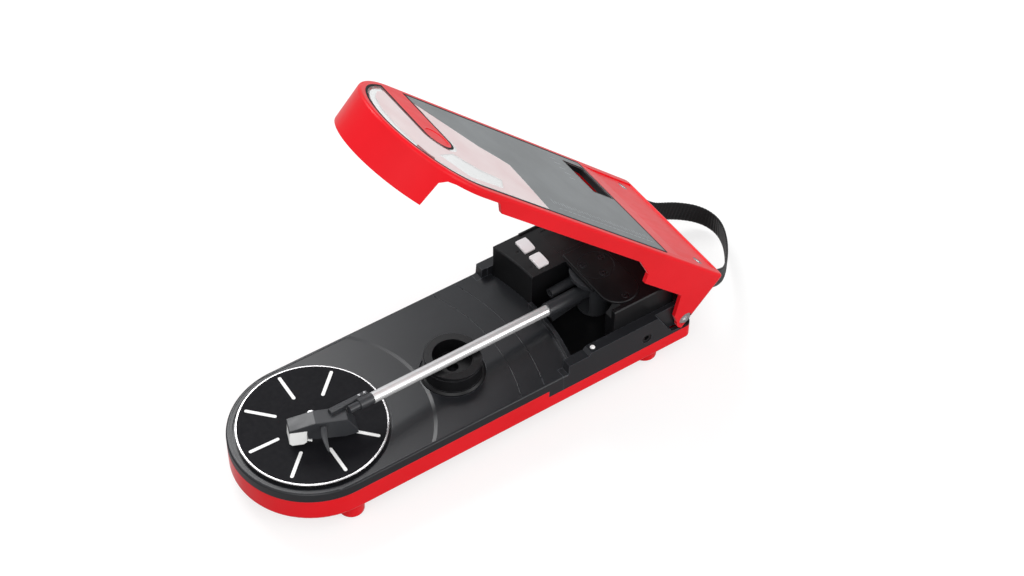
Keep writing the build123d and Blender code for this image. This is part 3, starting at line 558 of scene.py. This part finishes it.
# everything in this section is placed in the closed lid's plan and then opened with the lid
WINDOW_R = 45.25
WINDOW_END = 178.25
WINDOW_CORNER = 1.8
TONGUE_R = 10.1
# bottom and top of the window films, and the finger opening's x0, x1, y0, y1
FILM_Z = (LID_TOP - 0.06, LID_TOP + 0.01)
HATCH = (156.0, 175.8, 7.2, 39.0)


def flat_sheet(name, outline, hole, material, body):
    """A thin sheet cut to an outline in the closed lid's plan, with a hole cut through it."""
    z0, z1 = FILM_Z
    mesh = bpy.data.meshes.new(name)
    loops = [[Vector((x, y, z0)) for x, y in points] for points in (outline, hole)]
    work = bmesh.new()
    corners = [work.verts.new(point) for loop in loops for point in loop]
    for triangle in tessellate_polygon(loops):
        work.faces.new([corners[k] for k in triangle])
    bmesh.ops.recalc_face_normals(work, faces=work.faces[:])
    raised = bmesh.ops.extrude_face_region(work, geom=work.faces[:])
    for item in raised["geom"]:
        if isinstance(item, bmesh.types.BMVert):
            item.co.z = z1
    bmesh.ops.recalc_face_normals(work, faces=work.faces[:])
    for vert in work.verts:
        vert.co = opened(*vert.co) * MM
    work.to_mesh(mesh)
    work.free()
    mesh.materials.append(material)
    piece = bpy.data.objects.new(name, mesh)
    bpy.context.scene.collection.objects.link(piece)
    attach(piece, body)


def arc(radius, start, end, steps, cx=0.0, cy=0.0):
    """Points of an arc in plan, angles in degrees."""
    angles = [math.radians(start + (end - start) * k / steps) for k in range(steps + 1)]
    return [(cx + radius * math.cos(a), cy + radius * math.sin(a)) for a in angles]


def window_loop():
    """The window's outline: round nose, straight sides, and the inlet for the red tongue."""
    corner = WINDOW_CORNER
    r = WINDOW_R
    inlet = math.degrees(math.acos(-TONGUE_R / r))
    loop = arc(r, inlet, 270.0, steps=40)
    loop += arc(corner, -90.0, 0.0, steps=4, cx=WINDOW_END - corner, cy=-r + corner)
    loop += arc(corner, 0.0, 90.0, steps=4, cx=WINDOW_END - corner, cy=r - corner)
    loop += [(TONGUE_R, r)]
    loop += arc(TONGUE_R, 0.0, -180.0, steps=24)
    return loop


GASKET_HALF = 0.95
# across the bead: place as a share of the half width, and height above the lid's top
GASKET_PROFILE = ((-1.0, -0.3), (-0.75, 0.05), (0.0, 0.13), (0.75, 0.05), (1.0, -0.3))
# keeps the bead from growing without end where the outline turns back on itself
SHARPEST = 0.5


def gasket():
    """Thin rubber bead that fills the joint between the window and the red lid."""
    loop = window_loop()
    rows = []
    for k, here in enumerate(loop):
        before = Vector(loop[k - 1])
        after = Vector(loop[(k + 1) % len(loop)])
        into = (Vector(here) - before).normalized()
        away = (after - Vector(here)).normalized()
        side = Vector((into.y + away.y, -into.x - away.x)).normalized()
        spread = GASKET_HALF / max(SHARPEST, side.dot(Vector((away.y, -away.x))))
        rows.append([opened(here[0] + side.x * spread * u, here[1] + side.y * spread * u, LID_TOP + h)
                     for u, h in GASKET_PROFILE])
    points = [point for row in rows for point in row]
    width = len(GASKET_PROFILE)
    faces = []
    for k in range(len(rows)):
        a = k * width
        b = (k + 1) % len(rows) * width
        for j in range(width):
            n = (j + 1) % width
            faces.append((a + j, a + n, b + n, b + j))
    mesh_piece("window_gasket", points, faces, GASKET, "lid")


# front boundary of the dark film, print lightened with a painted reflection, from the far side of the
# window to the near side
FILM_EDGE = [(11.2, 37.4), (45.2, 9.4), (58.5, 3.1), (64.6, -1.0), (63.6, -18.0)]
SMOKE_MARGIN = 0.7
HATCH_MARGIN = 0.6
PALE_MARGIN = 1.8
PALE_TONGUE_R = 13.0


def smoke_film():
    """Dark glossy print over the rear two thirds of the window, open around the finger opening; its grey is
    raised to paint in the window's reflection.
    """
    r = WINDOW_R - SMOKE_MARGIN
    end = WINDOW_END - SMOKE_MARGIN
    outline = [(11.2, r), *FILM_EDGE, (60.5, -r), (end, -r), (end, r)]
    gap = HATCH_MARGIN
    x0, x1, y0, y1 = HATCH
    hole = [(x0 - gap, y0 - gap), (x1 + gap, y0 - gap), (x1 + gap, y1 + gap), (x0 - gap, y1 + gap)]
    flat_sheet("window_smoke_film", outline, hole, INK_AND_REFLECTION, "lid")


def pale_film():
    """Pale pink glossy sheet over the front of the window, a painted reflection of the light seen there,
    with one clear patch.
    """
    near = WINDOW_R - PALE_MARGIN
    tip = arc(PALE_TONGUE_R, 28.0, -180.0, steps=18)
    lobe = [(-13.4, 37.5), (-23.0, 33.0), (-31.0, 24.5), (-36.6, 12.0), (-38.2, -1.0), (-36.4, -14.0),
            (-31.0, -27.5), (-22.5, -36.0), (-12.0, -41.5)]
    rear = [(60.0, -near), (63.0, -18.0), (64.0, -1.4), (58.2, 2.5), (45.0, 8.8), (11.6, 36.4)]
    clear = [(-19.0, -24.0), (0.0, -15.5), (15.0, -23.5), (33.0, -27.0), (24.0, -38.2), (-5.0, -38.6)]
    outline = [(11.6, 8.0), *tip, *lobe, (8.0, -near), *rear]
    flat_sheet("window_pale_film", outline, clear, PAINTED_REFLECTION, "lid")


# rows of marks: how many, first x and y, pitch
TICKS = (34, 76.0, -31.0, 2.9)
DASHES = (22, 78.0, -37.4, 4.4)
RULES = (5, 142.0, 36.0, 5.2)
MARK_LIFT = 0.02
TICK_WIDE = 0.55
TICK_LONG = 4.4
TICK_SHORT = 2.6
TICK_DRIFT = 0.02


def print_marks():
    """A plain scale of ticks and a dashed line on the near side of the dark film, and five rules."""
    top = FILM_Z[1] + MARK_LIFT
    points = []
    faces = []

    def bar(x, y, long, wide):
        first = len(points)
        for u, v in ((-long, -wide), (long, -wide), (long, wide), (-long, wide)):
            points.append(opened(x + u / 2, y + v / 2, top))
        faces.append((first, first + 1, first + 2, first + 3))

    count, x0, y0, pitch = TICKS
    for k in range(count):
        tall = TICK_LONG if k % 4 == 0 else TICK_SHORT
        bar(x0 + pitch * k, y0 - TICK_DRIFT * pitch * k, TICK_WIDE, tall)
    count, x0, y0, pitch = DASHES
    for k in range(count):
        bar(x0 + pitch * k, y0, long=3.2, wide=0.5)
    count, x0, y0, pitch = RULES
    for k in range(count):
        bar(x0, y0 - pitch * k, long=6.0, wide=0.45)
    mesh_piece("window_print_marks", points, faces, MARKS, "lid", smooth=False)


gasket()
smoke_film()
pale_film()
print_marks()


# ---------- deck lines ----------

# name, radius about the platter's axis, and how far the line reaches to either side in y
DECK_BEADS = (("deck_line_front", 123.0, 47.0), ("deck_line_rear", 138.0, 43.0))
BEAD_HALF = 0.34
BEAD_HIGH = 0.10
BEAD_SUNK = 0.02
BEAD_STEPS = 60
BEAD_SIDES = 8


def deck_bead(name, radius, reach):
    """Half-round line moulded across the deck, centred on the platter's axis."""
    rows = []
    swing = math.degrees(math.asin(reach / radius))
    profile = [(BEAD_HALF * math.cos(a), DECK_TOP - BEAD_SUNK + BEAD_HIGH * math.sin(a))
               for a in (math.pi * j / BEAD_SIDES for j in range(BEAD_SIDES + 1))]
    for x, y in arc(radius, -swing, swing, BEAD_STEPS):
        out = Vector((x, y)).normalized()
        rows.append([(x + out.x * u, y + out.y * u, z) for u, z in profile])
    points = [point for row in rows for point in row]
    width = len(profile)
    faces = []
    for k in range(len(rows) - 1):
        a = k * width
        b = a + width
        for j in range(BEAD_SIDES):
            faces.append((a + j, a + j + 1, b + j + 1, b + j))
        faces.append((a, b, b + BEAD_SIDES, a + BEAD_SIDES))
    faces.append(tuple(range(width)))
    faces.append(tuple(range(len(points) - width, len(points)))[::-1])
    mesh_piece(name, points, faces, BEAD, "case")


for bead in DECK_BEADS:
    deck_bead(*bead)


# ---------- light and floor ----------

# name, place and target in metres, width and height in metres, power in watts
LIGHTS = (
    ("key_light", (-0.9, -1.3, 1.7), (0.12, 0.0, 0.0), 1.2, 1.0, 10.0),
    ("back_light", (0.10, 0.94, 1.03), (0.05, 0.0, 0.0), 0.72, 0.52, 9.0),
    ("fill_light", (1.0, -1.5, 0.55), (0.12, 0.0, 0.05), 1.0, 0.8, 9.0),
)
WORLD_STRENGTH = 0.95
# the brightest direction of the surroundings, and the grey of the opposite one
BRIGHT_SIDE = (-0.42, -0.88, 0.22)
DIM_GREY = (0.40, 0.41, 0.43, 1.0)
WHITE_GLOW = (1.0, 1.0, 1.0, 1.0)
# the surroundings are at their dimmest up to the first share of the way round, and at their
# brightest from the second
DIM_UNTIL = 0.22
BRIGHT_FROM = 0.78
# the floor's half size in metres, and the glow that keeps it white to the camera
FLOOR_HALF = 9.0
FLOOR_GLOW = 0.68


def softbox(name, place, target, width, height, power):
    """Rectangular area light that faces its target."""
    data = bpy.data.lights.new(name, "AREA")
    data.shape = "RECTANGLE"
    data.size = width
    data.size_y = height
    data.energy = power
    lamp = bpy.data.objects.new(name, data)
    bpy.context.scene.collection.objects.link(lamp)
    lamp.location = place
    aim = Vector(target) - Vector(place)
    lamp.rotation_euler = aim.to_track_quat("-Z", "Y").to_euler()


def studio():
    """White surroundings that are dimmer on one side, and the three lights."""
    world = bpy.data.worlds.new("studio")
    bpy.context.scene.world = world
    world.use_nodes = True
    tree = world.node_tree
    glow = tree.nodes["Background"]
    glow.inputs["Strength"].default_value = WORLD_STRENGTH
    place = tree.nodes.new("ShaderNodeTexCoord")
    facing = tree.nodes.new("ShaderNodeVectorMath")
    facing.operation = "DOT_PRODUCT"
    facing.inputs[1].default_value = BRIGHT_SIDE
    lift = tree.nodes.new("ShaderNodeMapRange")
    lift.inputs["From Min"].default_value = -1.0
    shade = tree.nodes.new("ShaderNodeValToRGB")
    shade.color_ramp.elements[0].position = DIM_UNTIL
    shade.color_ramp.elements[0].color = DIM_GREY
    shade.color_ramp.elements[1].position = BRIGHT_FROM
    shade.color_ramp.elements[1].color = WHITE_GLOW
    tree.links.new(place.outputs["Generated"], facing.inputs[0])
    tree.links.new(facing.outputs["Value"], lift.inputs["Value"])
    tree.links.new(lift.outputs["Result"], shade.inputs["Fac"])
    tree.links.new(shade.outputs["Color"], glow.inputs["Color"])
    for light in LIGHTS:
        softbox(*light)


def floor():
    """Paper under the object; only the camera and rays through glass see its glow."""
    low = cad_box[0].z
    size = FLOOR_HALF
    mesh = bpy.data.meshes.new("floor")
    mesh.from_pydata([(-size, -size, low), (size, -size, low), (size, size, low),
                      (-size, size, low)], [], [(0, 1, 2, 3)])
    m = Maker("floor_paper")
    paper = m.colours(m.noise(scale=6.0, detail=3.0), dark=(0.34, 0.34, 0.339), light=(0.36, 0.36, 0.359))
    m.link(paper, m.shader.inputs["Base Color"])
    m.set(Roughness=0.9, Specular_IOR_Level=0.0, Emission_Color=(1.0, 1.0, 0.997, 1.0))
    ray = m.node("ShaderNodeLightPath")
    seen = m.node("ShaderNodeMath", operation="MAXIMUM")
    m.link(ray.outputs["Is Camera Ray"], seen.inputs[0])
    m.link(ray.outputs["Is Transmission Ray"], seen.inputs[1])
    strength = m.ramp(seen.outputs["Value"], low=0.0, high=FLOOR_GLOW, start=0.0, end=1.0)
    m.link(strength, m.shader.inputs["Emission Strength"])
    mesh.materials.append(m.material)
    sheet = bpy.data.objects.new("floor", mesh)
    bpy.context.scene.collection.objects.link(sheet)


studio()
floor()

view = bpy.context.scene.view_settings
view.view_transform = "Standard"
view.look = "None"


# ---------- plain numbers ------

def plain(box):
    """A box's corners as plain lists of rounded numbers."""
    return [[round(v, 6) for v in corner] for corner in box]
